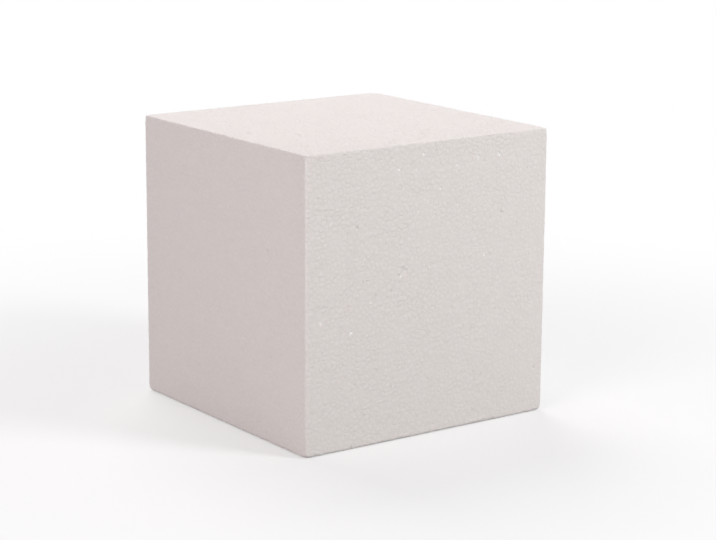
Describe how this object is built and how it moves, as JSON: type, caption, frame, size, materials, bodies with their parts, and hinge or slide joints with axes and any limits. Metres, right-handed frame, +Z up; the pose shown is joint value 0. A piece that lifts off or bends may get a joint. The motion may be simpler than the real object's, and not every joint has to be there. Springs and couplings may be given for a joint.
{
  "type": "foam block",
  "caption": "White bead-foam cube with flat cut faces, slightly eased edges and a few round dimples where beads came away.",
  "frame": {"origin": "centre of the bottom face, on the surface that the block stands on", "axes": "+Z up, X along the width and Y along the depth; the face with the large dimple looks along -Y"},
  "size_m": [0.15, 0.15, 0.15],
  "materials": {
    "bead_foam": "matte warm white, hot-wire cut, with a faint grain of pressed foam beads"
  },
  "bodies": {
    "root": {"foam_block": "bead_foam"}
  },
  "joints": []
}
